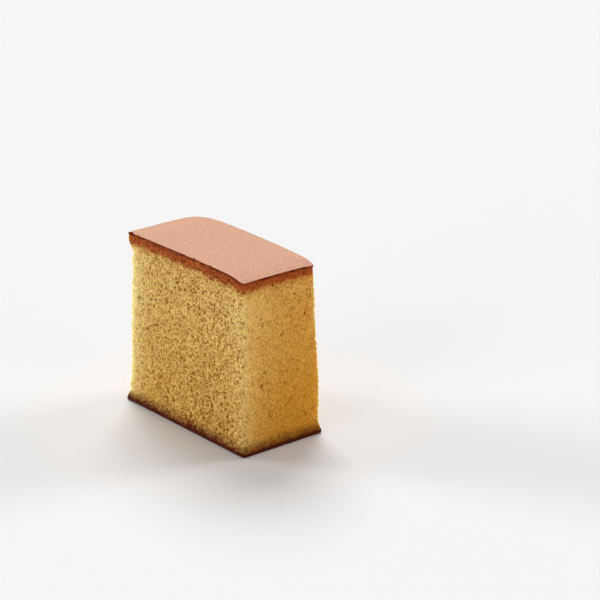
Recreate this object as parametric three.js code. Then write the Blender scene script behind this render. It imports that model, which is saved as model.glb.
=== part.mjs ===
// A slice of castella, the Japanese honey sponge, standing on its baked base.
// It is cut from a long loaf, so the two broad faces (-Y and +Y) are knife cuts across the loaf
// and the two narrow faces (-X and +X) are the loaf's own sides. The crumb has shrunk a little
// between the two crusts, so the walls pull in above the base and below the top crust, and the
// whole slice leans in towards the top. The top crust is a low dome that sags at its corners.
// Millimetres, +Z up. The origin is the middle of the base.

import * as THREE from "three";
import { ImprovedNoise } from "three/addons/math/ImprovedNoise.js";
import { mergeVertices } from "three/addons/utils/BufferGeometryUtils.js";

// Driving dimensions of the slice, in millimetres
const BASE_WIDTH = 63.9; // along X, across the loaf
const BASE_DEPTH = 32.8; // along Y, the thickness of the slice
const HEIGHT = 60; // base to the top of the dome

// How far the top crust's rim stands in from the base on each side
const RIM_INSET = { west: 0.45, east: 1.8, south: 1.9, northWest: 0.3, northEast: 1.9 };

// How much further in the rim stands at the middle of each broad side: one bows in, one out
const RIM_BOW = { south: 0.5, north: -0.9 };

// How far the crumb wall stands in from the straight line between base and rim, and how much
// further it draws in just above the base
const WAIST = { west: 0.8, east: 0.05, south: 0.9, north: 0.05 };
const NECK = { west: 0, east: 0.5, south: 0, north: 0.5 };
const NECK_TOP = 18; // height at which the neck has gone
const BASE_CRUST = 1.2; // height of the stiff baked base, which keeps its full size
const BASE_FLARE = 3.2; // height over which the wall draws in above it
const TOP_CRUST = 1.6; // depth of the stiff top crust
const TOP_FLARE = 6.0; // depth over which the wall widens up to it

// Upright corners: the crumb is softer and rounder than the crusts
const CRUMB_CORNER = { southWest: 1.6, southEast: 3.0, northEast: 0.9, northWest: 3.0 };
const BASE_CORNER = 0.9;
const RIM_CORNER = { southWest: 0.9, southEast: 1.6, northEast: 1.4, northWest: 5.5 };

// Rounding of the two horizontal edges
const BASE_EDGE = 0.6;
const RIM_EDGE = 0.5;

// Dome of the top crust: how far it falls at the middle of each edge and further at each corner
const EDGE_FALL = { west: 0.4, east: 1.2, south: 0.2, north: 0.5 };
const CORNER_FALL = { southWest: 0.15, southEast: 0.3, northEast: 0.65, northWest: 1.2 };
const DOME_POWER = { along: 6, across: 4 }; // a higher power keeps the middle flatter
const FALL_DEPTH = 14; // the crumb below follows the dome down to this depth

// Unevenness of the crumb: a slow wave in the wall, and the bumps and dents of its open grain
const WALL_WAVE = 0.28;
const WALL_WAVE_LENGTH = 17;
const GRAIN = 0.22;
const GRAIN_LENGTH = 4.6;

// Mesh: a fine step round each corner and edge, a wider one on the flats
const EDGE_ZONE = 5.5;
const EDGE_STEPS = 4;
const STEP_GROWTH = 1.5; // power by which the steps of an edge zone widen
const FLAT_STEP = 2.15;

// Colours
const BASE_STAIN = 1.8; // height up to which the outside is dark
const TOP_STAIN = 2.4; // depth down to which the walls have the top crust's colour
const CRUMB_COLOUR = new THREE.Color("#e0b45c");
const CRUST_COLOUR = new THREE.Color("#c48c66");
const BASE_COLOUR = new THREE.Color("#5a2a12");

const { clamp, lerp, smoothstep } = THREE.MathUtils;

// The value for the corner of the plan that a point lies nearest to.
function atCorner(values, east, north) {
  if (north) return east ? values.northEast : values.northWest;
  return east ? values.southEast : values.southWest;
}

// How far each wall stands in from the base outline at a height. along runs from -1 at the
// west end to 1 at the east end, because the north wall isn't parallel to the south one.
function wallInsets(z, along) {
  const share = z / HEIGHT;
  const northRim = lerp(RIM_INSET.northWest, RIM_INSET.northEast, (along + 1) / 2);
  const aboveBase = smoothstep(z, BASE_CRUST, BASE_CRUST + BASE_FLARE);
  const belowRim = smoothstep(HEIGHT - z, TOP_CRUST, TOP_CRUST + TOP_FLARE);
  const bow = 1 - along ** 2;
  const rim = {
    west: RIM_INSET.west,
    east: RIM_INSET.east,
    south: RIM_INSET.south + RIM_BOW.south * bow,
    north: northRim + RIM_BOW.north * bow,
  };
  const neck = aboveBase * (1 - smoothstep(z, BASE_CRUST + BASE_FLARE, NECK_TOP));
  const inset = {};
  for (const side in rim) {
    const drawnIn = WAIST[side] * aboveBase * belowRim + NECK[side] * neck;
    inset[side] = rim[side] * share + drawnIn + edgeRounding(z);
  }
  return inset;
}

// The inset of a quarter round at the base edge and at the rim.
function edgeRounding(z) {
  const quarter = (radius, distance) =>
    distance >= radius ? 0 : radius - Math.sqrt(radius ** 2 - (radius - distance) ** 2);
  return quarter(BASE_EDGE, z) + quarter(RIM_EDGE, HEIGHT - z);
}

// The radius of an upright corner at a height.
function cornerRadius(east, north, z) {
  const rim = atCorner(RIM_CORNER, east, north);
  const crumb = atCorner(CRUMB_CORNER, east, north);
  const aboveBase = smoothstep(z, BASE_CRUST, BASE_CRUST + BASE_FLARE);
  const belowRim = smoothstep(HEIGHT - z, TOP_CRUST, TOP_CRUST + TOP_FLARE);
  return lerp(rim, lerp(BASE_CORNER, crumb, aboveBase), belowRim);
}

// Moves a point of the plan rectangle onto the rounded outline: inside a corner square it keeps
// its direction from the arc's centre and its share of the way out.
function roundCorner(x, y, halfX, halfY, radius) {
  const innerX = clamp(x, radius - halfX, halfX - radius);
  const innerY = clamp(y, radius - halfY, halfY - radius);
  const [dx, dy] = [x - innerX, y - innerY];
  const far = Math.hypot(dx, dy);
  if (far === 0) return [x, y];
  const reach = Math.max(Math.abs(dx), Math.abs(dy));
  return [innerX + (dx / far) * reach, innerY + (dy / far) * reach];
}

// How far the top crust falls below the dome's middle. u and v run from -1 to 1 over the plan.
function domeFall(u, v) {
  const along = Math.abs(u) ** DOME_POWER.along;
  const across = Math.abs(v) ** DOME_POWER.across;
  const endFall = along * (u > 0 ? EDGE_FALL.east : EDGE_FALL.west);
  const sideFall = across * (v > 0 ? EDGE_FALL.north : EDGE_FALL.south);
  const corner = atCorner(CORNER_FALL, u > 0, v > 0) * along * across;
  return Math.max(endFall, sideFall) + corner;
}

// A point of the slice from a point of the plain block: u and v from -1 to 1, z in millimetres.
function slicePoint(u, v, z) {
  const [halfX, halfY] = [BASE_WIDTH / 2, BASE_DEPTH / 2];
  const radius = cornerRadius(u > 0, v > 0, z);
  const [px, py] = roundCorner(u * halfX, v * halfY, halfX, halfY, radius);
  const inset = wallInsets(z, px / halfX);
  const x = lerp(inset.west - halfX, halfX - inset.east, (px / halfX + 1) / 2);
  const y = lerp(inset.south - halfY, halfY - inset.north, (py / halfY + 1) / 2);
  const followsDome = smoothstep(z, HEIGHT - FALL_DEPTH, HEIGHT);
  return new THREE.Vector3(x, y, z - domeFall(px / halfX, py / halfY) * followsDome);
}

// How far the crumb stands out of the smooth wall at a point. It fades out at both crusts.
const grainNoise = new ImprovedNoise();
function crumbRelief(point) {
  const inCrumb =
    smoothstep(point.z, BASE_CRUST, BASE_CRUST + BASE_FLARE) *
    smoothstep(HEIGHT - point.z, TOP_CRUST, TOP_CRUST + TOP_FLARE);
  const noise = (length) =>
    grainNoise.noise(point.x / length, point.y / length, point.z / length);
  return inCrumb * (WALL_WAVE * noise(WALL_WAVE_LENGTH) + GRAIN * noise(GRAIN_LENGTH));
}

// The number of steps across a size, and the place of step i: fine steps in the edge zones,
// even steps between them.
function stepsAcross(size) {
  return 2 * EDGE_STEPS + Math.round((size - 2 * EDGE_ZONE) / FLAT_STEP);
}
function stepPlace(i, steps, size) {
  const inZone = (n) => EDGE_ZONE * (n / EDGE_STEPS) ** STEP_GROWTH;
  if (i <= EDGE_STEPS) return inZone(i);
  if (i >= steps - EDGE_STEPS) return size - inZone(steps - i);
  return EDGE_ZONE + ((size - 2 * EDGE_ZONE) * (i - EDGE_STEPS)) / (steps - 2 * EDGE_STEPS);
}

// Colour of the outside by height: dark base, golden crumb, light brown top crust.
function colourAt(z, top) {
  if (z < BASE_STAIN) return BASE_COLOUR;
  return top || z > HEIGHT - TOP_STAIN ? CRUST_COLOUR : CRUMB_COLOUR;
}

function castellaSlice() {
  const [stepsX, stepsY, stepsZ] = [BASE_WIDTH, BASE_DEPTH, HEIGHT].map(stepsAcross);
  const block = new THREE.BoxGeometry(1, 1, 1, stepsX, stepsY, stepsZ);
  block.deleteAttribute("normal");
  block.deleteAttribute("uv");
  const slice = mergeVertices(block);
  const position = slice.getAttribute("position");
  const place = (t, steps, size) => stepPlace(Math.round((t + 0.5) * steps), steps, size);

  // First the smooth slice, then the crumb's relief along its normals.
  const smooth = [];
  for (let n = 0; n < position.count; n++) {
    const u = (2 * place(position.getX(n), stepsX, BASE_WIDTH)) / BASE_WIDTH - 1;
    const v = (2 * place(position.getY(n), stepsY, BASE_DEPTH)) / BASE_DEPTH - 1;
    const point = slicePoint(u, v, place(position.getZ(n), stepsZ, HEIGHT));
    smooth.push(point);
    position.setXYZ(n, point.x, point.y, point.z);
  }
  slice.computeVertexNormals();
  const normal = slice.getAttribute("normal");
  const colours = [];
  smooth.forEach((point, n) => {
    const out = new THREE.Vector3().fromBufferAttribute(normal, n);
    const onTop = out.z > 0.5;
    const relief = Math.abs(out.z) > 0.5 ? 0 : crumbRelief(point);
    colours.push(...colourAt(point.z, onTop).toArray());
    position.setXYZ(n, ...point.addScaledVector(out, relief).toArray());
  });
  slice.setAttribute("color", new THREE.Float32BufferAttribute(colours, 3));
  slice.computeVertexNormals();

  const sponge = new THREE.MeshStandardMaterial({
    vertexColors: true,
    roughness: 0.85,
    metalness: 0,
  });
  const mesh = new THREE.Mesh(slice, sponge);
  mesh.name = "castella_slice";
  return mesh;
}

const castella = new THREE.Group();
castella.add(castellaSlice());

export default castella;
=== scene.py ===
"""A slice of castella, the Japanese honey sponge: open golden crumb between two thin baked crusts.

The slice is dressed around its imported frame. Its outside is worked out in millimetres from the
same sizes as the solid, and goes into the meshes in metres. Each piece is one closed surface on
a grid: the columns run round the slice, and the rows run from the middle of its underside, out
and up the walls, and in to the middle of its top.
"""

import math

import bpy
import numpy as np
from mathutils import Matrix, Vector


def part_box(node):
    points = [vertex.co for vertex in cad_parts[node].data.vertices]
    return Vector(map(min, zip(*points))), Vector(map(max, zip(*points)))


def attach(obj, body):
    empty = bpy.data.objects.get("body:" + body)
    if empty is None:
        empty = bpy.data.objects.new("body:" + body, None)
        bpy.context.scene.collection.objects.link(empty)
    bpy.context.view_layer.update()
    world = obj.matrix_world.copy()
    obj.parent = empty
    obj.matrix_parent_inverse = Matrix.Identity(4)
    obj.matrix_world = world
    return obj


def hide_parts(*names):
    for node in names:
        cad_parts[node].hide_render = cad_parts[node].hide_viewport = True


bl_info = {
    "name": "Castella slice",
    "version": (1, 0, 0),
    "blender": (4, 5, 0),
    "location": "View3D > Sidebar > Castella",
    "description": "Makes a slice of castella sponge with its two baked crusts",
    "category": "Add Mesh",
}

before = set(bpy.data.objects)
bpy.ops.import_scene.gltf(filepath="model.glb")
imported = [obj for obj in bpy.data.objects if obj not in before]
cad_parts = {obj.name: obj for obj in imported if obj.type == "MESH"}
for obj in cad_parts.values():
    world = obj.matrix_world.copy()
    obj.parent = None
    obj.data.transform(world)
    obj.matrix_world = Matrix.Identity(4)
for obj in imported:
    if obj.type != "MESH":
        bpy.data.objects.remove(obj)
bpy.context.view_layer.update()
NODE = "castella_slice"
LOW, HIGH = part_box(NODE)

MM = 0.001
BASE_WIDTH, BASE_DEPTH, HEIGHT = ((HIGH - LOW) / MM)[:]

# Form of the slice, in millimetres, as the solid has it. Each inset is measured from the base.
RIM_INSET = {"west": 0.45, "east": 1.8, "south": 1.9, "north_west": 0.3, "north_east": 1.9}
RIM_BOW = {"west": 0.0, "east": 0.0, "south": 0.5, "north": -0.9}
WAIST = {"west": 0.8, "east": 0.05, "south": 0.9, "north": 0.05}
NECK = {"west": 0.0, "east": 0.5, "south": 0.0, "north": 0.5}
NECK_TOP = 18.0
BASE_STIFF = 1.2
BASE_FLARE = 3.2
TOP_STIFF = 1.6
TOP_FLARE = 6.0
BASE_CORNER = 0.9
CRUMB_CORNER = {"south_west": 1.6, "south_east": 3.0, "north_east": 0.9, "north_west": 3.0}
RIM_CORNER = {"south_west": 0.9, "south_east": 1.6, "north_east": 1.4, "north_west": 5.5}
BASE_EDGE = 0.6
EDGE_FALL = {"west": 0.4, "east": 1.2, "south": 0.2, "north": 0.5}
CORNER_FALL = {"south_west": 0.15, "south_east": 0.3, "north_east": 0.65, "north_west": 1.2}
FALL_DEPTH = 14.0
DOME_POWER = {"along": 6, "across": 4}

# Dark burrs on the front cut edge of the top skin: place along it, height and width
BURRS = ((-29.6, 0.5, 1.3), (-26.0, 0.25, 0.5), (4.2, 0.35, 0.5), (12.6, 0.3, 0.5))

# How much the crumb frays at each upright edge, and how strongly it is painted paler there, as a
# glow of light through the edge and a highlight on it
FRAY_GLOW = {"south_west": 1.4, "south_east": 0.65, "north_east": 0.15, "north_west": 0.3}

SEED = 11
TABLE_SIDE = 64

# Noises of the crumb's form: length, height and seed of each layer, in millimetres
BEND = ((1.1, 0.55, 40), (1.1, 0.55, 41), (1.1, 0.55, 42))
WAVE_LENGTH = 17
WAVE_SEED = 3
LUMPS = ((4.6, 0.22, 4),)
TORN_LUMPS = ((0.9, 0.1, 5),)
FRAY_EDGE = ((2.0, 0.7, 14),)
FRAY_LUMPS = ((0.9, 0.34, 16), (2.4, 0.22, 17))

# The two sizes of foam cells: share of the pore spacing, share of the depth, and seed. Both are
# wider than high. A cell slopes down from its wall over the edge, to a depth in a range.
CELL_SIZES = ((1.0, 0.68, 1), (0.55, 0.32, 10))
CELL_SQUASH = (0.85, 0.85, 1.1)
CELL_EDGE = 0.4
CELL_DEPTH = (0.3, 0.9)

# Holes, and the pinholes of the smoother faces: the share of lattice cells that have one, and
# the seed. A hole is at most this deep, in radii, and pinholes have their own spacing and depth.
HOLES_KEPT = 0.5
HOLE_SEED = 2
HOLE_LIMIT = 1.4
PINHOLES_KEPT = 0.7
PINHOLE_SEED = 15
PINHOLE_SPACING = 2.7
PINHOLE_DEPTH = 0.8

# How far a wall faces along Y where it stops being a side of the loaf, and where it is a cut
FACE_TURN = (0.35, 0.9)

# Each pair is for the smoother sides of the loaf and for the torn cut faces
PORE_SHARE = (0.3, 1.0)
HOLE_DEPTH = (0.4, 1.0)
# The next pair is how strongly the large holes are painted darker, as shade in them
HOLE_SHADE = (0.3, 0.6)
GRAIN_SEEN = (0.5, 0.65)
BAND_DEPTH = (0.9, 1.05)
BAND_RAGGED = (0.5, 0.8)

# Shares of the pits' depth and of the grain that are left beside the crusts, the share of both
# that fraying fills, and the share of the depth by which the walls between the pits are raised,
# so that the pitted wall lies about where the solid's does
PITS_BY_CRUST = 0.7
GRAIN_BY_CRUST = 0.9
FRAY_FILLS = 0.5
PIT_LIFT = 0.35

# How strongly pores and pinholes are painted darker, as shade in their hollows, how much of that
# painted shade fraying takes away, how much more is painted low down and toward the east, and how
# much darker the whole west side is painted, as shade against the strong light on it
PORE_SHADE = 0.6
PINHOLE_SHADE = 0.25
FRAY_CLEARS = 0.75
LOW_SHADE = 0.3
EAST_SHADE = 0.22
WEST_SHADE = 0.14

# How much richer the gold is painted: as warm bounce light at the sides and toward the back, as
# shade low down and on the west side, where the crumb also frays less and is less painted with
# glow. The drift is the crumb's own uneven tone.
BOUNCE_SIDE = 0.25
LOW_SHADE_GOLD = 0.5
LOW_SHADE_GOLD_POWER = 1.3
BOUNCE_BACK = 0.4
WEST_SHADE_GOLD = 0.7
RICH_DRIFT = ((9, 0.12, 13),)
WEST_FRAY_LOSS = 0.6

# Stains of the crusts, in millimetres: the ragged edge of the band and where it fades, the faint
# toast and the shade below it, and the same for the dark base
BAND_EDGE = ((3.1, 0.6, 6), (1.1, 0.6, 7), (0.6, 0.5, 12))
BAND_FADE = (-1.5, 1.3)
TOAST = 0.16
TOAST_FADE = (3.0, 8.0)
SHADE = 0.15
SHADE_FADE = (3.5, 7.5)
BASE_STAIN_EDGE = ((2.3, 0.48, 8), (0.8, 0.48, 9))
BASE_STAIN_FADE = (0.2, 5.5)

# The crumb starts this high inside the base crust, and its two flat ends are rings at these
# shares of the plan
CRUMB_START = 0.4
END_SHARES = np.linspace(0.1, 0.9, 5)

# Profile of the top skin's cut edge from its lower end up: share of the thickness down, and
# millimetres outwards. Its underside and its face are rings at shares of the plan. Its edge is
# rough, uneven in thickness, rippled and specked.
SKIN_DOWN = np.array([1.0, 0.75, 0.45, 0.2, 0.06, 0.0])
SKIN_OUT = np.array([-0.35, -0.1, 0.0, 0.0, -0.06, -0.25])
SKIN_UNDER = np.array([0.3, 0.7, 0.97])
SKIN_FACE_RINGS = 34
SKIN_FACE_POWER = 1.6
SKIN_FACE_INNER = 0.97
SKIN_FACE_OUTER = 0.994
SKIN_ROUGH = ((1.3, 0.12, 20), (0.5, 0.08, 21))
SKIN_THICKNESS = ((1.6, 0.5, 23), (0.6, 0.3, 24))
SKIN_RIPPLE = ((0.7, 0.06, 22),)
SPECKS = ((0.9, 0.8, 25),)
SPECK_START = 0.44

# How squarely an edge faces a side where it belongs to that side
FACING = 0.9

# Profile of the base crust from below: rings at shares of the plan, with each ring's share of
# the crust's height, from the flat underside up the wall and in over the top. Its upper edge is
# torn, its wall is rough, and its height is taken from the outline at its middle.
BASE_UNDER = np.array([0.3, 0.7, 0.95])
BASE_WALL_RINGS = 7
BASE_OVER = np.array([0.985, 0.97, 0.5])
BASE_OVER_HEIGHT = np.array([0.85, 0.4, 0.4])
BASE_TORN = ((4.2, 0.2, 30), (1.1, 0.175, 31), (0.5, 0.1, 32))
BASE_ROUGH = ((1.2, 0.16, 33), (0.5, 0.1, 34))
BASE_MIDDLE = 1.0
BASE_TOP_SHARE = 0.98

# Patterns of the materials, in millimetres. The cells of castella are about 0.3 to 1 mm wide,
# and the grains of its skin and base about 0.1 to 0.3 mm. Those are too fine to show, so the
# cells are drawn at 1.25 to 1.5 mm and the grains at 0.45 to 1.2 mm.
FOAM_BEND = 1.1
FOAM_BEND_LENGTH = 1.3
FOAM_PATCH = 2.1
CRUMB_GRAIN = 0.65
SKIN_GRAIN = 0.45
BURNT_RUNS = 3.0
BASE_GRAIN = 1.2

# How much paler and darker than its colour the grains of each crust are
SKIN_TONES = (1.17, 0.76)
BASE_TONES = (1.9, 0.6)

# Windows: name, strength, then width of the disc, azimuth and elevation in degrees, and tint
WINDOWS = (
    ("key", 1.95, 34, -124, 50, "#FFFFFF"),
    ("fill", 0.51, 30, 8, 20, "#FFFFFF"),
    ("edge_light", 1.5, 24, -59, 15, "#FFFFFF"),
    ("back_light", 1.15, 26, 165, 20, "#FFFFFF"),
    ("warm_bounce", 0.46, 24, 100, 8, "#FFB85C"),
)

# The even room: how strongly it lights, and how bright it is seen
ROOM_LIGHT = 0.235
ROOM_SEEN = 0.92

# The floor's radius in metres and its number of corners, and the camera's sensor width in
# millimetres and far clip in metres
FLOOR_RADIUS = 4
FLOOR_CORNERS = 64
SENSOR_WIDTH = 36
CLIP_END = 20


def linear(hex_colour):
    """The linear red, green and blue of an sRGB hex colour."""
    srgb = np.array([int(hex_colour[i : i + 2], 16) for i in (1, 3, 5)]) / 255
    return tuple(np.where(srgb <= 0.04045, srgb / 12.92, ((srgb + 0.055) / 1.055) ** 2.4))


def size(name, text, default):
    """A length property, in metres."""
    return bpy.props.FloatProperty(
        name=name, description=text, default=default, min=0.0, unit="LENGTH", precision=5
    )


def colour(name, text, default):
    """A colour property, from an sRGB hex value."""
    return bpy.props.FloatVectorProperty(
        name=name, description=text, default=linear(default), subtype="COLOR", min=0.0, max=1.0
    )


class CastellaCrumb(bpy.types.PropertyGroup):
    """Sizes and colours of the open crumb."""

    step: size("Mesh step", "Distance between the points of the wall", 0.00036)
    pore_spacing: size("Pore spacing", "Distance between the pores of a cut face", 0.0015)
    pore_depth: size("Pore depth", "Depth of a pore", 0.00075)
    grain: bpy.props.FloatProperty(
        name="Grain", description="How much the fine grain darkens the crumb",
        default=0.8, subtype="FACTOR",
    )
    foam: size("Foam cell", "Distance between the fine cells of the crumb", 0.00125)
    pinhole: size("Pinhole radius", "Radius of the pinholes in the smoother faces", 0.00055)
    hole_spacing: size("Hole spacing", "Distance between the few large holes", 0.0052)
    hole_radius: size("Hole radius", "Radius of a large hole", 0.0009)
    # The fraying and its painted glow reach this far from an upright edge
    fray: size("Fray", "Reach of the frayed crumb from an upright edge", 0.004)
    wave: size("Wall wave", "Slow wave in the walls", 0.00028)
    gold: colour("Gold", "Walls between the pits of the cut faces", "#FFDF8A")
    # Rich gold is painted warm bounce light on the sides and toward the back, and painted shade low
    # down and on the west side
    bounce_shade_gold: colour("Rich gold", "Crumb at the sides of the loaf and low down", "#E6A62E")
    # Pale lemon painted on the torn crumb along the upright edges, as a glow of light through them
    # and a highlight on them
    fray_and_glow: colour("Frayed", "Torn crumb along the upright edges", "#FFF2A0")
    # The pore colour is painted shade at the bottom of a pit
    pore: colour("Pore", "Crumb at the bottom of a pit", "#A2620A")
    baked: colour("Baked crumb", "Lower part of the baked band", "#D08234")
    burnt: colour("Burnt crumb", "Crumb right under the top crust", "#AC521C")
    # In the pits of the baked band this colour is painted shade; by the base it is the crumb's own
    # scorch
    scorched: colour("Scorched crumb", "Pits of the baked crumb, and crumb by the base", "#5E2408")


class CastellaCrust(bpy.types.PropertyGroup):
    """Sizes and colours of the two baked crusts."""

    skin: size("Top skin", "Thickness of the top skin", 0.00075)
    band: size("Baked band", "Depth of the brown band below the top skin", 0.0034)
    base: size("Base crust", "Height of the dark base crust", 0.0013)
    proud: size("Overhang", "How far a crust stands out of the crumb", 0.00012)
    # The skin's own salmon brown, painted lighter with the sheen of the light on it
    skin_colour_and_sheen: colour("Top skin", "Face of the top skin", "#DCAB8F")
    edge_colour: colour("Cut edge", "Burnt cut edge of the top skin", "#6C1E06")
    edge_pale: colour("Pale cut edge", "Less burnt runs of the cut edge", "#93431A")
    base_colour: colour("Base crust", "Baked base", "#4A1B05")


class CastellaStage(bpy.types.PropertyGroup):
    """Camera and light of the picture."""

    azimuth: bpy.props.FloatProperty(
        name="Azimuth", description="Camera's turn from the broad face",
        default=math.radians(50.44), subtype="ANGLE",
    )
    elevation: bpy.props.FloatProperty(
        name="Elevation", description="Camera's height angle",
        default=math.radians(20.58), subtype="ANGLE",
    )
    distance: size("Distance", "Camera to the middle of the slice", 0.7903)
    aside: bpy.props.FloatProperty(
        name="Aside", description="How far the camera stands to the right of the slice",
        default=0.0258, unit="LENGTH",
    )
    above: bpy.props.FloatProperty(
        name="Above", description="How far the camera is raised above its aim",
        default=0.0105, unit="LENGTH",
    )
    lens: bpy.props.FloatProperty(
        name="Lens", description="Focal length", default=144.0, unit="CAMERA"
    )
    floor: colour("Floor", "Pale floor and backdrop", "#F0F1F2")


def smoothstep(x, low, high):
    """0 below low, 1 above high, and a smooth S between them."""
    t = np.clip((x - low) / (high - low), 0, 1)
    return t * t * (3 - 2 * t)


def lerp(a, b, t):
    """The point a share t of the way from a to b."""
    return a + (b - a) * t


def at_corner(values, east, north):
    """The value of the plan's corner that each point lies nearest to."""
    northern = np.where(east, values["north_east"], values["north_west"])
    southern = np.where(east, values["south_east"], values["south_west"])
    return np.where(north, northern, southern)


def drawn_in(z):
    """0 in the two stiff crusts and 1 in the crumb between them."""
    above_base = smoothstep(z, BASE_STIFF, BASE_STIFF + BASE_FLARE)
    return above_base * smoothstep(HEIGHT - z, TOP_STIFF, TOP_STIFF + TOP_FLARE)


def wall_insets(z, along):
    """How far each wall stands in from the base: a lean to the bowed rim, the waist and neck."""
    north_rim = lerp(RIM_INSET["north_west"], RIM_INSET["north_east"], (along + 1) / 2)
    rim = {**{side: RIM_INSET[side] for side in ("west", "east", "south")}, "north": north_rim}
    low = np.clip(BASE_EDGE - z, 0, BASE_EDGE)
    edge = BASE_EDGE - np.sqrt(BASE_EDGE**2 - low**2)
    above_base = smoothstep(z, BASE_STIFF, BASE_STIFF + BASE_FLARE)
    neck = above_base * (1 - smoothstep(z, BASE_STIFF + BASE_FLARE, NECK_TOP))
    inset = {}
    for side in rim:
        lean = (rim[side] + RIM_BOW[side] * (1 - along**2)) * z / HEIGHT
        inset[side] = lean + WAIST[side] * drawn_in(z) + NECK[side] * neck + edge
    return inset


def corner_radius(east, north, z):
    """The radius of an upright corner: soft in the crumb, crisp in the crusts."""
    above_base = smoothstep(z, BASE_STIFF, BASE_STIFF + BASE_FLARE)
    below_rim = smoothstep(HEIGHT - z, TOP_STIFF, TOP_STIFF + TOP_FLARE)
    crumb = lerp(BASE_CORNER, at_corner(CRUMB_CORNER, east, north), above_base)
    return lerp(at_corner(RIM_CORNER, east, north), crumb, below_rim)


def dome_fall(u, v):
    """How far the top falls below the dome's middle: steep powers of u and v, more at corners."""
    along, across = u ** DOME_POWER["along"], v ** DOME_POWER["across"]
    end_fall = along * np.where(u > 0, EDGE_FALL["east"], EDGE_FALL["west"])
    side_fall = across * np.where(v > 0, EDGE_FALL["north"], EDGE_FALL["south"])
    corner = at_corner(CORNER_FALL, u > 0, v > 0) * along * across
    return np.maximum(end_fall, side_fall) + corner


def slice_point(u, v, z):
    """Points of the slice's smooth outside, in millimetres.

    u and v, from -1 to 1, are places in the plan rectangle and z is a height. Each upright corner
    is an arc: a point of the corner's square keeps its direction from the arc's centre. The plan
    then shrinks between the four walls' insets, and the top layers follow the dome.
    """
    half_x, half_y = BASE_WIDTH / 2, BASE_DEPTH / 2
    radius = corner_radius(u > 0, v > 0, z)
    x, y = u * half_x, v * half_y
    inner_x = np.clip(x, radius - half_x, half_x - radius)
    inner_y = np.clip(y, radius - half_y, half_y - radius)
    dx, dy = x - inner_x, y - inner_y
    reach = np.maximum(np.abs(dx), np.abs(dy)) / np.maximum(np.hypot(dx, dy), 1e-9)
    along, across = (inner_x + dx * reach) / half_x, (inner_y + dy * reach) / half_y
    inset = wall_insets(z, along)
    x = lerp(inset["west"] - half_x, half_x - inset["east"], (along + 1) / 2)
    y = lerp(inset["south"] - half_y, half_y - inset["north"], (across + 1) / 2)
    fall = dome_fall(along, across) * smoothstep(z, HEIGHT - FALL_DEPTH, HEIGHT)
    return np.stack([x, y, z - fall], -1)


def outline(step):
    """u and v round the edge of the plan, counter-clockwise from the south-west corner."""
    count_x, count_y = round(BASE_WIDTH / step), round(BASE_DEPTH / step)
    run_x = np.linspace(-1, 1, count_x, endpoint=False)
    run_y = np.linspace(-1, 1, count_y, endpoint=False)
    side_x, side_y = np.ones(count_x), np.ones(count_y)
    u = np.concatenate([run_x, side_y, -run_x, -side_y])
    v = np.concatenate([-side_x, run_y, side_x, -run_y])
    return u, v


def grid_normals(points):
    """Outward normals of a grid that closes on itself along its columns."""
    round_it = np.roll(points, -1, 1) - np.roll(points, 1, 1)
    up_it = np.gradient(points, axis=0)
    normal = np.cross(round_it, up_it)
    return normal / np.maximum(np.linalg.norm(normal, axis=-1, keepdims=True), 1e-12)


def lattice(points, seed):
    """The cell that each point is in, and random numbers for any cell, from a seeded table.

    The table holds four numbers for each cell of a cube, which repeats without end.
    """
    table = np.random.default_rng(seed).random((TABLE_SIDE, TABLE_SIDE, TABLE_SIDE, 4))
    cell = np.floor(points).astype(int)

    def numbers(offset):
        i, j, k = np.moveaxis((cell + offset) % TABLE_SIDE, -1, 0)
        return table[i, j, k]

    return cell, numbers


CORNERS = [np.array((i, j, k)) for i in (0, 1) for j in (0, 1) for k in (0, 1)]
NEIGHBOURS = [np.array((i, j, k)) for i in (-1, 0, 1) for j in (-1, 0, 1) for k in (-1, 0, 1)]


def noise(points, length, seed):
    """Smooth noise from -1 to 1: random values on a lattice of that length, blended by an S."""
    scaled = points / length
    cell, numbers = lattice(scaled, SEED + seed)
    t = scaled - cell
    t = t * t * (3 - 2 * t)
    total = sum(
        np.prod(np.where(corner == 1, t, 1 - t), -1) * numbers(corner)[..., 0]
        for corner in CORNERS
    )
    return 2 * total - 1


def layered(points, layers):
    """A sum of noises, each given as its length, its height and its seed."""
    return sum(height * noise(points, length, seed) for length, height, seed in layers)


def bubbles(points, normals, spacing, radius, keep, seed):
    """How deep the bubbles of the crumb are under each point of a cut, in units of their radius.

    One bubble, of 0.55 to 1.15 times the radius, lies at a random place in each cell of a lattice,
    and a share of the cells keep theirs. From a point inside a bubble, the depth is the way along
    the normal to the bubble's far wall.
    """
    scaled = points / spacing
    cell, numbers = lattice(scaled, SEED + seed)
    deepest = np.zeros(points.shape[:-1])
    for offset in NEIGHBOURS:
        draw = numbers(offset)
        away = (scaled - cell - offset - draw[..., :3]) * spacing
        size_draw = draw[..., 3] / keep
        bubble = radius * (1.15 - 0.6 * size_draw) * (size_draw < 1)
        rise = (away * normals).sum(-1)
        inside = bubble**2 - (away**2).sum(-1) + rise**2
        depth = np.where(inside > 0, rise + np.sqrt(np.maximum(inside, 0)), 0)
        within = (away**2).sum(-1) < bubble**2
        deepest = np.maximum(deepest, np.where(within, depth / radius, 0))
    return deepest


def cells(points, spacing, seed):
    """The foam cell that each point is in, around random centres, one in each cell of a lattice.

    Gives the gap between the distances to the second nearest centre and to the nearest, as a
    share of the spacing, which is 0 on the wall between two cells, and the cell's own number.
    """
    scaled = points / spacing
    cell, numbers = lattice(scaled, SEED + seed)
    first = np.full(points.shape[:-1], np.inf)
    second, own = first.copy(), np.zeros_like(first)
    for offset in NEIGHBOURS:
        draw = numbers(offset)
        away = np.linalg.norm(scaled - cell - offset - draw[..., :3], axis=-1)
        nearer = away < first
        second = np.where(nearer, first, np.minimum(second, away))
        own = np.where(nearer, draw[..., 3], own)
        first = np.where(nearer, away, first)
    return second - first, own


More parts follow.
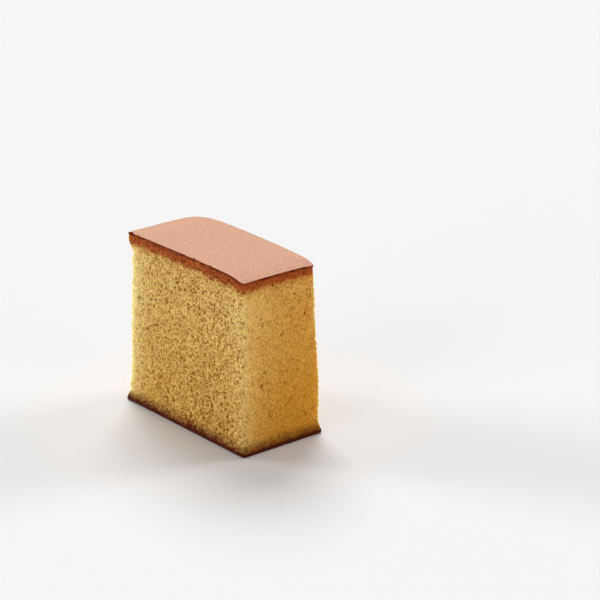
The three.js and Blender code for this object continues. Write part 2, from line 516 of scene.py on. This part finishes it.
def put_mesh(name, points, attributes):
    """A closed mesh object from a grid of points in millimetres, with a pole at each end."""
    rows, columns = points.shape[:2]
    poles = np.stack([points[0].mean(0), points[-1].mean(0)])
    vertices = np.concatenate([points.reshape(-1, 3), poles]) * MM
    here = np.arange(columns)
    there = (here + 1) % columns
    start = np.arange(rows - 1)[:, None] * columns
    quads = np.stack(
        [start + here, start + there, start + columns + there, start + columns + here], -1
    )
    last = (rows - 1) * columns
    under = np.stack([there, here, np.full(columns, rows * columns)], -1)
    over = np.stack([last + here, last + there, np.full(columns, rows * columns + 1)], -1)
    mesh = bpy.data.meshes.new(name)
    faces = quads.reshape(-1, 4).tolist() + under.tolist() + over.tolist()
    mesh.from_pydata(vertices, [], faces)
    mesh.shade_smooth()
    for key, values in attributes.items():
        ends = [values[0].mean(), values[-1].mean()]
        layer = mesh.attributes.new(key, "FLOAT", "POINT")
        layer.data.foreach_set("value", np.append(values.ravel(), ends).astype(np.float32))
    mesh.validate()
    piece = bpy.data.objects.new(name, mesh)
    bpy.context.scene.collection.objects.link(piece)
    return piece


def finish_piece(piece, material):
    """Gives a piece its material and its place in the frame."""
    piece.data.materials.append(material)
    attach(piece, "root")
    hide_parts(NODE)


def add(tree, kind, settings, out=0):
    """Adds a node and returns one of its outputs, by name or number.

    Each key names a property of the node, or one of its inputs by name or number. Each value is
    what that is set to, or the output that is linked to it.
    """
    node = tree.nodes.new(kind)
    for key, value in settings.items():
        if isinstance(key, str) and hasattr(node, key):
            setattr(node, key, value)
        elif isinstance(value, bpy.types.NodeSocket):
            tree.links.new(value, node.inputs[key])
        elif node.inputs[key].type == "RGBA":
            node.inputs[key].default_value = (*value, 1)
        else:
            node.inputs[key].default_value = value
    return node.outputs[out] if len(node.outputs) else None


def new_material(name):
    """An empty material and its tree."""
    material = bpy.data.materials.new(name)
    material.use_nodes = True
    material.node_tree.nodes.clear()
    return material, material.node_tree


def sponge_crumb(settings):
    """Baked egg sponge, cut and torn open.

    It is matt and soft: light goes a few millimetres into it, so its edges glow yellow. Thin
    pale walls stand between the pits, which are painted darker and more orange with depth, as shade
    in their hollows. Light is painted into its colours too: a paler glow along the upright edges,
    warm bounce light on the sides, and shade low down, toward the east and on the west side.
    """
    material, tree = new_material("baked_egg_sponge")
    place = add(tree, "ShaderNodeTexCoord", {}, "Object")
    bounce_shade_and_tone, torn_open, fray_and_glow, pore, baked, scorched = (
        add(tree, "ShaderNodeAttribute", {"attribute_name": key}, "Fac")
        for key in ("bounce_shade_and_tone", "open", "fray_and_glow", "pore", "baked", "scorched")
    )

    # The fine foam is soft cells in a bent lattice, open to uneven depths, which give the bump and
    # are painted darker as shade in the pits
    drift = {"Vector": place, "Scale": 1 / (FOAM_BEND_LENGTH * MM), "Detail": 2.0}
    drift = add(tree, "ShaderNodeTexNoise", drift, "Color")
    bent = {"operation": "MULTIPLY_ADD", 0: drift, 1: (FOAM_BEND * MM,) * 3, 2: place}
    bent = add(tree, "ShaderNodeVectorMath", bent)
    foam = {"feature": "DISTANCE_TO_EDGE", "Vector": bent, "Scale": 1 / settings.foam}
    foam = add(tree, "ShaderNodeTexVoronoi", foam, "Distance")
    foam = add(tree, "ShaderNodeMapRange", {"Value": foam, "From Max": 0.4})
    uneven = {"Vector": place, "Scale": 1 / (FOAM_PATCH * MM), "Detail": 1.0}
    uneven = add(tree, "ShaderNodeTexNoise", uneven)
    uneven = {"Value": uneven, "From Min": 0.35, "From Max": 0.65, "To Min": 0.25}
    uneven = add(tree, "ShaderNodeMapRange", uneven)
    pit = add(tree, "ShaderNodeMath", {"operation": "MULTIPLY", 0: foam, 1: uneven})

    # A finer grain lies over it
    grain = {"Vector": place, "Scale": 1 / (CRUMB_GRAIN * MM), "Detail": 3.0}
    grain = add(tree, "ShaderNodeTexNoise", grain)
    grain = {"Value": grain, "From Min": 0.36, "From Max": 0.64, "To Max": settings.grain}
    grain = add(tree, "ShaderNodeMapRange", grain)
    fine = add(tree, "ShaderNodeMath", {"operation": "ADD", 0: grain, 1: pit})
    fine = add(tree, "ShaderNodeMath", {"operation": "MULTIPLY", 0: fine, 1: torn_open})
    # The darkening adds the crumb's own fine grain to painted shade in the foam's pits, and in the
    # pores, holes and pinholes, low down, toward the east and on the west side
    dark = add(tree, "ShaderNodeMath", {"operation": "ADD", 0: fine, 1: pore})
    # Painted warm bounce light and painted shade turn the gold richer
    crumb = {"data_type": "RGBA", 0: bounce_shade_and_tone, 6: settings.gold, 7: settings.bounce_shade_gold}
    crumb = add(tree, "ShaderNodeMix", crumb, 2)
    # Painted glow and highlight along the torn upright edges
    crumb = {"data_type": "RGBA", 0: fray_and_glow, 6: crumb, 7: settings.fray_and_glow}
    crumb = add(tree, "ShaderNodeMix", crumb, 2)
    # Grain and painted shade turn the crumb toward the pore colour
    crumb = {"data_type": "RGBA", 0: dark, 6: crumb, 7: settings.pore}
    crumb = add(tree, "ShaderNodeMix", crumb, 2)

    # Toasted from orange brown at the lower edge of the band to red brown under the skin
    toasted = add(tree, "ShaderNodeMapRange", {"Value": baked, "From Min": 0.5})
    brown = {"data_type": "RGBA", 0: toasted, 6: settings.baked, 7: settings.burnt}
    brown = add(tree, "ShaderNodeMix", brown, 2)
    # In the band's pits the brown is painted darker toward the scorched colour, and the browning of
    # the band and of the base reaches further into the pits, both as painted shade
    band_pit_shade = {"Value": dark, "From Min": 0.3, "From Max": 0.8, "To Max": 0.75}
    band_pit_shade = add(tree, "ShaderNodeMapRange", band_pit_shade)
    brown = {"data_type": "RGBA", 0: band_pit_shade, 6: brown, 7: settings.scorched}
    brown = add(tree, "ShaderNodeMix", brown, 2)
    deeper = {"Value": dark, "From Min": 0.2, "From Max": 0.8, "To Min": 0.94, "To Max": 1.2}
    deeper = add(tree, "ShaderNodeMapRange", deeper)
    baked = add(tree, "ShaderNodeMath", {"operation": "MULTIPLY", 0: baked, 1: deeper})
    crumb = {"data_type": "RGBA", 0: baked, 6: crumb, 7: brown}
    crumb = add(tree, "ShaderNodeMix", crumb, 2)
    scorched = add(tree, "ShaderNodeMath", {"operation": "MULTIPLY", 0: scorched, 1: deeper})
    crumb = {"data_type": "RGBA", 0: scorched, 6: crumb, 7: settings.scorched}
    crumb = add(tree, "ShaderNodeMix", crumb, 2)
    bump = {"Height": fine, "invert": True, "Strength": 0.8, "Distance": 0.00035}
    shader = {
        "Base Color": crumb,
        "Normal": add(tree, "ShaderNodeBump", bump),
        "Roughness": 0.9,
        "IOR": 1.4,
        "Specular IOR Level": 0.15,
        "Subsurface Weight": 0.7,
        "Subsurface Radius": (1.0, 0.9, 0.4),
        "Subsurface Scale": 0.005,
    }
    shader = add(tree, "ShaderNodeBsdfPrincipled", shader)
    add(tree, "ShaderNodeOutputMaterial", {"Surface": shader})
    return material


def top_skin(settings):
    """Baked skin of the sponge, a thin dry film browned by sugar.

    It is matt salmon brown with a fine grain, lightened by a painted sheen, and its cut edge is
    burnt dark.
    """
    material, tree = new_material("browned_sponge_skin")
    place = add(tree, "ShaderNodeTexCoord", {}, "Object")
    grain = {"Vector": place, "Scale": 1 / (SKIN_GRAIN * MM), "Detail": 3.0}
    grain = add(tree, "ShaderNodeTexNoise", grain)
    speckle = {"Value": grain, "From Min": 0.35, "From Max": 0.7}
    speckle = add(tree, "ShaderNodeMapRange", speckle)
    pale, dark = (tuple(min(1.0, c * tone) for c in settings.skin_colour_and_sheen) for tone in SKIN_TONES)
    face = {"data_type": "RGBA", 0: speckle, 6: pale, 7: dark}
    face = add(tree, "ShaderNodeMix", face, 2)
    runs = {"Vector": place, "Scale": 1 / (BURNT_RUNS * MM), "Detail": 2.0}
    runs = add(tree, "ShaderNodeTexNoise", runs)
    runs = add(tree, "ShaderNodeMapRange", {"Value": runs, "From Min": 0.42, "From Max": 0.62})
    burnt = {"data_type": "RGBA", 0: runs, 6: settings.edge_colour, 7: settings.edge_pale}
    burnt = add(tree, "ShaderNodeMix", burnt, 2)
    edge = add(tree, "ShaderNodeAttribute", {"attribute_name": "edge"}, "Fac")
    tint = add(tree, "ShaderNodeMix", {"data_type": "RGBA", 0: edge, 6: face, 7: burnt}, 2)
    bump = {"Height": grain, "Strength": 0.25, "Distance": 0.0002}
    shader = {
        "Base Color": tint,
        "Normal": add(tree, "ShaderNodeBump", bump),
        "Roughness": 0.62,
        "IOR": 1.45,
        "Specular IOR Level": 0.05,
    }
    shader = add(tree, "ShaderNodeBsdfPrincipled", shader)
    add(tree, "ShaderNodeOutputMaterial", {"Surface": shader})
    return material


def base_skin(settings):
    """Baked base of the sponge, caramelised where it met the paper.

    It is dark red brown, uneven, and a little sticky.
    """
    material, tree = new_material("caramelised_sponge_base")
    place = add(tree, "ShaderNodeTexCoord", {}, "Object")
    grain = {"Vector": place, "Scale": 1 / (BASE_GRAIN * MM), "Detail": 3.0}
    grain = add(tree, "ShaderNodeTexNoise", grain)
    pale, dark = (tuple(min(1.0, c * tone) for c in settings.base_colour) for tone in BASE_TONES)
    tint = add(tree, "ShaderNodeMix", {"data_type": "RGBA", 0: grain, 6: dark, 7: pale}, 2)
    bump = {"Height": grain, "Strength": 0.5, "Distance": 0.0004}
    shader = {
        "Base Color": tint,
        "Normal": add(tree, "ShaderNodeBump", bump),
        "Roughness": 0.6,
        "IOR": 1.45,
        "Specular IOR Level": 0.05,
    }
    shader = add(tree, "ShaderNodeBsdfPrincipled", shader)
    add(tree, "ShaderNodeOutputMaterial", {"Surface": shader})
    return material


class CASTELLA_OT_crumb(bpy.types.Operator):
    """Makes the crumb: the walls of the slice with their pores and holes"""

    bl_idname = "castella.crumb"
    bl_label = "Crumb"

    def execute(self, context):
        crumb, crust = context.scene.castella_crumb, context.scene.castella_crust
        step = crumb.step / MM * 1
        skin = crust.skin / MM
        u, v = outline(step)
        rows = round((HEIGHT - skin - CRUMB_START) / step)
        heights = np.linspace(CRUMB_START, HEIGHT - skin, rows)
        wall = slice_point(u, v, heights[:, None])
        normals = grid_normals(wall)
        level = normals * (1, 1, 0)
        level /= np.linalg.norm(level, axis=-1, keepdims=True)

        # The broad faces are torn open, and the narrow ones are the smoother sides of the loaf.
        # The crumb is a foam of two sizes of cells, each open to its own depth.
        broad = smoothstep(np.abs(level[..., 1]), *FACE_TURN)
        west = (u < 0) * (1 - broad)
        bend = np.stack([layered(wall, [layer]) for layer in BEND], -1)
        squashed = (wall + bend) * CELL_SQUASH
        pores = np.zeros(wall.shape[:-1])
        for share, weight, seed in CELL_SIZES:
            gap, own = cells(squashed, crumb.pore_spacing / MM * share, seed)
            pores += weight * smoothstep(gap, 0.0, CELL_EDGE) * lerp(*CELL_DEPTH, own)
        spacing, radius, pinhole = (
            length / MM for length in (crumb.hole_spacing, crumb.hole_radius, crumb.pinhole)
        )
        holes = bubbles(wall, level, spacing, radius, HOLES_KEPT, HOLE_SEED)
        holes = np.minimum(holes, HOLE_LIMIT) / HOLE_LIMIT
        pinholes = bubbles(wall, level, PINHOLE_SPACING, pinhole, PINHOLES_KEPT, PINHOLE_SEED)
        pinholes = pinholes * (1 - broad)
        slow = noise(wall, WAVE_LENGTH, WAVE_SEED) * crumb.wave / MM
        lumps = layered(wall, LUMPS) + layered(wall, TORN_LUMPS) * broad
        in_crumb = drawn_in(heights)[:, None]

        # Along the upright edges the crumb frays, so it is rougher and less pitted, and it is painted
        # paler there, as a glow of light through the edge and a highlight on it.
        inside = (1 - np.abs(u)) * BASE_WIDTH / 2 + (1 - np.abs(v)) * BASE_DEPTH / 2
        fray_and_glow = np.exp(-((inside + layered(wall, FRAY_EDGE)) / crumb.fray * MM))
        fray_and_glow = np.clip(fray_and_glow * at_corner(FRAY_GLOW, u > 0, v > 0), 0, 1) * in_crumb
        fray_and_glow *= 1 - WEST_FRAY_LOSS * west
        depth = pores * crumb.pore_depth / MM * lerp(*PORE_SHARE, broad)
        depth = np.maximum(depth, holes * radius * lerp(*HOLE_DEPTH, broad))
        depth = np.maximum(depth, PINHOLE_DEPTH * pinholes * pinhole) * (1 - FRAY_FILLS * fray_and_glow)
        relief = in_crumb * (slow + lumps) - depth * lerp(PITS_BY_CRUST, 1.0, in_crumb)
        relief += PIT_LIFT * crumb.pore_depth / MM * in_crumb * broad
        relief += layered(wall, FRAY_LUMPS) * fray_and_glow
        wall = wall + level * relief[..., None]

        # Stains of the two crusts: the brown band and a faint toast below it, and the dark base.
        low = 1 - heights[:, None] / HEIGHT
        below_top = (HEIGHT - heights)[:, None]
        ragged = layered(wall, BAND_EDGE)
        band = crust.band / MM * lerp(*BAND_DEPTH, broad) + ragged * lerp(*BAND_RAGGED, broad)
        baked = 1 - smoothstep(below_top - skin, band + BAND_FADE[0], band + BAND_FADE[1])
        baked = np.maximum(baked, TOAST * (1 - smoothstep(below_top + ragged, *TOAST_FADE)))
        torn = heights[:, None] + layered(wall, BASE_STAIN_EDGE)
        scorched = 1 - smoothstep(torn, *BASE_STAIN_FADE)

        # Painted shade in the pits, holes and pinholes, which grows toward the east and low down, and
        # painted shade over the whole west side.
        painted_shade = PORE_SHADE * pores * lerp(*PORE_SHARE, broad) + holes * lerp(*HOLE_SHADE, broad)
        painted_shade += PINHOLE_SHADE * pinholes
        painted_shade *= (1 - FRAY_CLEARS * fray_and_glow) * (1 + LOW_SHADE * low + EAST_SHADE * u)
        painted_shade += WEST_SHADE * west
        shaded = (1 - baked) * (1 - smoothstep(below_top, *SHADE_FADE))
        painted_shade = np.clip(painted_shade + SHADE * shaded, 0, 1)

        # The gold is painted richer: warm bounce light at the sides of the loaf and toward the back,
        # shade low down and on the west side, and a slow drift of the crumb's own tone.
        back = (wall[..., 1] / BASE_DEPTH + 0.5) * (1 - broad)
        bounce_shade_and_tone = BOUNCE_SIDE * (1 - broad) + LOW_SHADE_GOLD * low**LOW_SHADE_GOLD_POWER
        bounce_shade_and_tone += BOUNCE_BACK * back + WEST_SHADE_GOLD * west + layered(wall, RICH_DRIFT)
        torn_open = lerp(*GRAIN_SEEN, broad) * lerp(GRAIN_BY_CRUST, 1.0, in_crumb)

        inward = END_SHARES[:, None]
        floor = slice_point(u * inward, v * inward, np.full_like(inward, heights[0]))
        roof = slice_point(u * inward[::-1], v * inward[::-1], np.full_like(inward, heights[-1]))
        blank = np.zeros((len(inward), len(u)))
        piece = put_mesh(
            "crumb",
            np.concatenate([floor, wall, roof]),
            {
                "bounce_shade_and_tone": np.concatenate([blank, np.clip(bounce_shade_and_tone, 0, 1), blank]),
                "open": np.concatenate([blank, torn_open * (1 - FRAY_FILLS * fray_and_glow), blank]),
                "fray_and_glow": np.concatenate([blank, fray_and_glow, blank]),
                "pore": np.concatenate([blank, painted_shade, blank]),
                "baked": np.concatenate([blank, baked, blank + 1]),
                "scorched": np.concatenate([blank + 1, scorched, blank]),
            },
        )
        finish_piece(piece, sponge_crumb(crumb))
        return {"FINISHED"}


class CASTELLA_OT_top_crust(bpy.types.Operator):
    """Makes the top skin: a thin browned dome with a ragged cut edge"""

    bl_idname = "castella.top_crust"
    bl_label = "Top crust"

    def execute(self, context):
        crumb, crust = context.scene.castella_crumb, context.scene.castella_crust
        step = crumb.step / MM * 1
        skin, proud = crust.skin / MM, crust.proud / MM
        u, v = outline(step)

        # Rings of the shell: out along its underside, up the cut edge and in over its face.
        face = 1 - np.linspace(SKIN_FACE_INNER, 0, SKIN_FACE_RINGS) ** SKIN_FACE_POWER
        face = np.concatenate([face[:-1], [SKIN_FACE_OUTER]])[::-1]
        under, cut_edge = np.ones(len(SKIN_UNDER)), np.ones(len(SKIN_DOWN))
        over = np.zeros(len(face))
        share = np.concatenate([SKIN_UNDER, cut_edge, face])[:, None]
        drop = np.concatenate([under, SKIN_DOWN, over])[:, None] * skin
        out = np.concatenate([0 * under, SKIN_OUT, over])[:, None]
        on_rim = np.concatenate([0 * under, cut_edge, over])[:, None]
        shell = slice_point(u * share, v * share, np.full_like(share, HEIGHT))
        rim = slice_point(u, v, np.full((1, 1), HEIGHT))[0]
        along = np.roll(rim, -1, 0) - np.roll(rim, 1, 0)
        level = np.stack([along[:, 1], -along[:, 0], np.zeros(len(along))], -1)
        level /= np.linalg.norm(level, axis=-1, keepdims=True)
        shell += level * (on_rim * (proud + layered(rim, SKIN_ROUGH)) + out)[..., None]
        shell[..., 2] -= drop * lerp(1, 1 + layered(rim, SKIN_THICKNESS), on_rim)

        # Burrs stand on the front cut edge, and ripples and specks on both edges that show.
        front = level[:, 1] < -FACING
        cut = front | (level[:, 0] > FACING)
        burrs = sum(
            height * np.exp(-(((rim[:, 0] - x) / width) ** 2)) * front for x, height, width in BURRS
        )
        specks = np.maximum(layered(rim, SPECKS) - SPECK_START, 0)
        shell[..., 2] += on_rim * ((layered(rim, SKIN_RIPPLE) + specks) * cut + burrs)
        burnt = np.concatenate([under, cut_edge, over])
        edge = np.repeat(burnt[:, None], len(u), 1)
        piece = put_mesh("top_crust", shell, {"edge": edge})
        finish_piece(piece, top_skin(crust))
        return {"FINISHED"}


class CASTELLA_OT_base_crust(bpy.types.Operator):
    """Makes the base crust: a thin dark tray with a torn upper edge"""

    bl_idname = "castella.base_crust"
    bl_label = "Base crust"

    def execute(self, context):
        crumb, crust = context.scene.castella_crumb, context.scene.castella_crust
        step = crumb.step / MM * 1
        proud = crust.proud / MM
        u, v = outline(step)
        rim = slice_point(u, v, np.full((1, 1), BASE_MIDDLE))[0]
        top = crust.base / MM * (1 + layered(rim, BASE_TORN)) * BASE_TOP_SHARE

        # Rings of the shell: out along its underside, up the wall and in under the crumb.
        climb = np.linspace(0, 1, BASE_WALL_RINGS)
        under, over = np.zeros(len(BASE_UNDER)), np.zeros(len(BASE_OVER))
        share = np.concatenate([BASE_UNDER, np.ones(BASE_WALL_RINGS), BASE_OVER])[:, None]
        height = np.concatenate([under, climb, BASE_OVER_HEIGHT])[:, None]
        shell = slice_point(u * share, v * share, height * top)
        normals = grid_normals(shell) * (1, 1, 0)
        raised = np.concatenate([under, np.ones(BASE_WALL_RINGS), over])[:, None] * (height > 0)
        shell += normals * (raised * (proud + layered(shell, BASE_ROUGH)))[..., None]
        piece = put_mesh("base_crust", shell, {})
        finish_piece(piece, base_skin(crust))
        return {"FINISHED"}


def toward(turn, rise):
    """The direction from the slice at two angles. Turn 0 is straight out from the front face."""
    return Vector((math.sin(turn) * math.cos(rise), -math.cos(turn) * math.cos(rise), math.sin(rise)))


def add_window(name, strength, spread, azimuth, elevation, tint):
    """A wide even light from far away, as a sun with a large disc, so the floor is lit evenly."""
    away = toward(math.radians(azimuth), math.radians(elevation))
    light = bpy.data.lights.new(name, "SUN")
    light.energy = strength
    light.angle = math.radians(spread)
    light.color = linear(tint)
    lamp = bpy.data.objects.new(name, light)
    lamp.location = away
    lamp.rotation_euler = away.to_track_quat("Z", "Y").to_euler()
    bpy.context.scene.collection.objects.link(lamp)


class CASTELLA_OT_stage(bpy.types.Operator):
    """Makes the pale floor, the soft studio lights and the camera"""

    bl_idname = "castella.stage"
    bl_label = "Stage"

    def execute(self, context):
        stage = context.scene.castella_stage
        self.make_floor(stage)
        self.make_world()
        for light in WINDOWS:
            add_window(*light)
        self.make_camera(context.scene, stage)
        return {"FINISHED"}

    def make_floor(self, stage):
        """A flat disc of matt card."""
        mesh = bpy.data.meshes.new("floor")
        turn = np.linspace(0, 2 * np.pi, FLOOR_CORNERS, endpoint=False)
        points = np.stack([np.cos(turn), np.sin(turn), np.zeros_like(turn)], -1) * FLOOR_RADIUS
        mesh.from_pydata(points, [], [list(range(FLOOR_CORNERS))])
        floor = bpy.data.objects.new("floor", mesh)
        bpy.context.scene.collection.objects.link(floor)
        material, tree = new_material("matt_card")
        card = {"Base Color": stage.floor, "Roughness": 0.9}
        card = add(tree, "ShaderNodeBsdfPrincipled", card)
        add(tree, "ShaderNodeOutputMaterial", {"Surface": card})
        mesh.materials.append(material)

    def make_world(self):
        """Even pale surroundings, seen brighter than they light."""
        world = bpy.data.worlds.new("studio")
        bpy.context.scene.world = world
        world.use_nodes = True
        tree = world.node_tree
        tree.nodes.clear()
        seen = add(tree, "ShaderNodeLightPath", {}, "Is Camera Ray")
        strength = {"Value": seen, "To Min": ROOM_LIGHT, "To Max": ROOM_SEEN}
        strength = add(tree, "ShaderNodeMapRange", strength)
        glow = {"Color": (1, 1, 1), "Strength": strength}
        glow = add(tree, "ShaderNodeBackground", glow)
        add(tree, "ShaderNodeOutputWorld", {"Surface": glow})

    def make_camera(self, scene, stage):
        """A long lens that looks down at the slice, at its place from the two view angles."""
        right = Vector((math.cos(stage.azimuth), math.sin(stage.azimuth), 0))
        back = toward(stage.azimuth, stage.elevation)
        up = back.cross(right)
        middle = Vector((0, 0, HEIGHT * MM / 2))
        camera_data = bpy.data.cameras.new("camera")
        camera_data.lens = stage.lens
        camera_data.sensor_width = SENSOR_WIDTH
        camera_data.clip_end = CLIP_END
        camera = bpy.data.objects.new("camera", camera_data)
        turned = Matrix((right, up, back)).transposed().to_4x4()
        place = middle + back * stage.distance + right * stage.aside + up * stage.above
        camera.matrix_world = Matrix.Translation(place) @ turned
        scene.collection.objects.link(camera)
        scene.camera = camera
        scene.view_settings.view_transform = "Standard"


class CASTELLA_PT_panel(bpy.types.Panel):
    """Lists the pieces of the slice"""

    bl_idname = "CASTELLA_PT_panel"
    bl_label = "Castella slice"
    bl_space_type = "VIEW_3D"
    bl_region_type = "UI"
    bl_category = "Castella"

    def draw(self, context):
        for group, operators in PANEL_ROWS.items():
            box = self.layout.box()
            settings = getattr(context.scene, group)
            for key in settings.__annotations__:
                box.prop(settings, key)
            for operator in operators:
                box.operator(operator.bl_idname)


GROUPS = {
    "castella_crumb": CastellaCrumb,
    "castella_crust": CastellaCrust,
    "castella_stage": CastellaStage,
}
PANEL_ROWS = {
    "castella_crumb": [CASTELLA_OT_crumb],
    "castella_crust": [CASTELLA_OT_top_crust, CASTELLA_OT_base_crust],
    "castella_stage": [CASTELLA_OT_stage],
}
CLASSES = [
    *GROUPS.values(),
    CASTELLA_OT_crumb,
    CASTELLA_OT_top_crust,
    CASTELLA_OT_base_crust,
    CASTELLA_OT_stage,
    CASTELLA_PT_panel,
]


def register():
    """Adds the classes and the settings that they read."""
    for item in CLASSES:
        bpy.utils.register_class(item)
    for key, group in GROUPS.items():
        setattr(bpy.types.Scene, key, bpy.props.PointerProperty(type=group))


def unregister():
    """Takes away what register adds."""
    for key in GROUPS:
        delattr(bpy.types.Scene, key)
    for item in reversed(CLASSES):
        bpy.utils.unregister_class(item)


def main():
    """Makes the whole slice and its stage."""
    register()
    bpy.ops.castella.crumb()
    bpy.ops.castella.top_crust()
    bpy.ops.castella.base_crust()
    bpy.ops.castella.stage()


if __name__ == "__main__":
    main()
